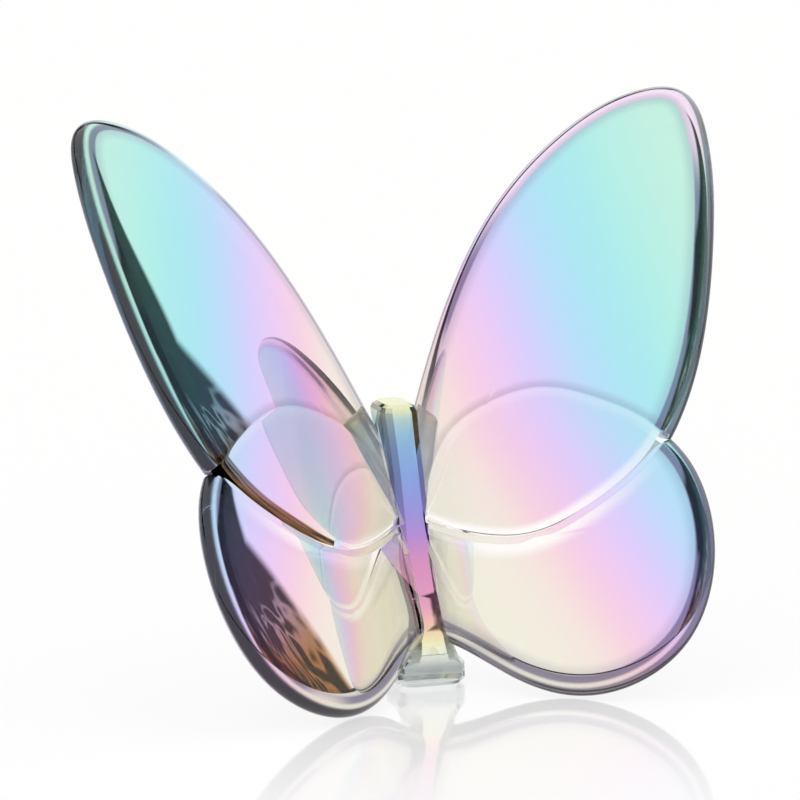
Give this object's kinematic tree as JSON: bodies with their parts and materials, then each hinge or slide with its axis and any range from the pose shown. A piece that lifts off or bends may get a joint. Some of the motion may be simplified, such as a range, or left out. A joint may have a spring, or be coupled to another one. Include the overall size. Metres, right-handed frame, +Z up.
{
  "type": "butterfly ornament",
  "caption": "Standing butterfly ornament in clear crystal with an iridescent coating: a slim rod body on a flat foot, with lapped forewings and hindwings that open in a V.",
  "frame": {"origin": "centre of the foot's underside, on the surface that the butterfly stands on", "axes": "+Z up, the butterfly faces -Y and its wings open towards -Y; the plane X = 0 is its plane of symmetry"},
  "size_m": [0.0758, 0.0392, 0.065],
  "materials": {
    "body_crystal": "polished crystal with a violet and gold iridescent coating",
    "forewing_crystal": "polished crystal with an iridescent coating from cream and pink at the body to blue and turquoise at the tip",
    "hindwing_crystal": "polished crystal with an iridescent coating from cream at the body to lavender and blue at the outer edge",
    "adhesive": "cured clear adhesive film"
  },
  "bodies": {
    "root": {"body": "body_crystal", "left_forewing": "forewing_crystal", "left_hindwing": "hindwing_crystal", "left_lap_bond": "adhesive", "left_forewing_bond": "adhesive", "left_hindwing_bond": "adhesive", "right_forewing": "forewing_crystal", "right_hindwing": "hindwing_crystal", "right_lap_bond": "adhesive", "right_forewing_bond": "adhesive", "right_hindwing_bond": "adhesive"}
  },
  "joints": []
}
